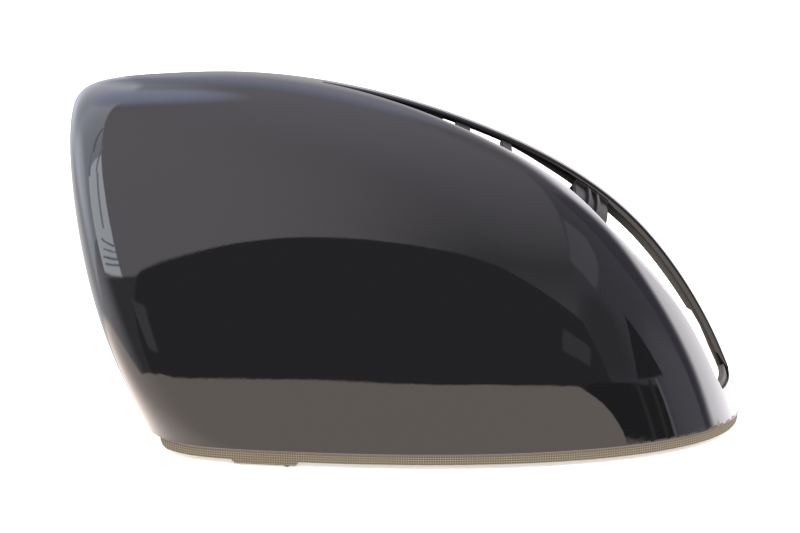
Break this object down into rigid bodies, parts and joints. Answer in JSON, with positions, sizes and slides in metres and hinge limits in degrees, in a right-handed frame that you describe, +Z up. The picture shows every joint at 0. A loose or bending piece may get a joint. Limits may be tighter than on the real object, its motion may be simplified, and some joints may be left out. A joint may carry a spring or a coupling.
{
  "type": "wing mirror housing",
  "caption": "Glossy moulded wing mirror cover, a rounded bowl open to the rear, with an indicator slot behind its outer edge and a grained lip with a locating tab below.",
  "frame": {"origin": "centre of the base of the bounding box", "axes": "+X to the outboard tip along the cover, +Y from the painted face to the open rear, +Z up"},
  "size_m": [0.25, 0.0802, 0.1295],
  "materials": {
    "gloss_black": "black lacquer under clear coat, high gloss; the lip, the strip's flange and the inside are bare moulded plastic"
  },
  "bodies": {
    "root": {"mirror_cover": "gloss_black"}
  },
  "joints": []
}
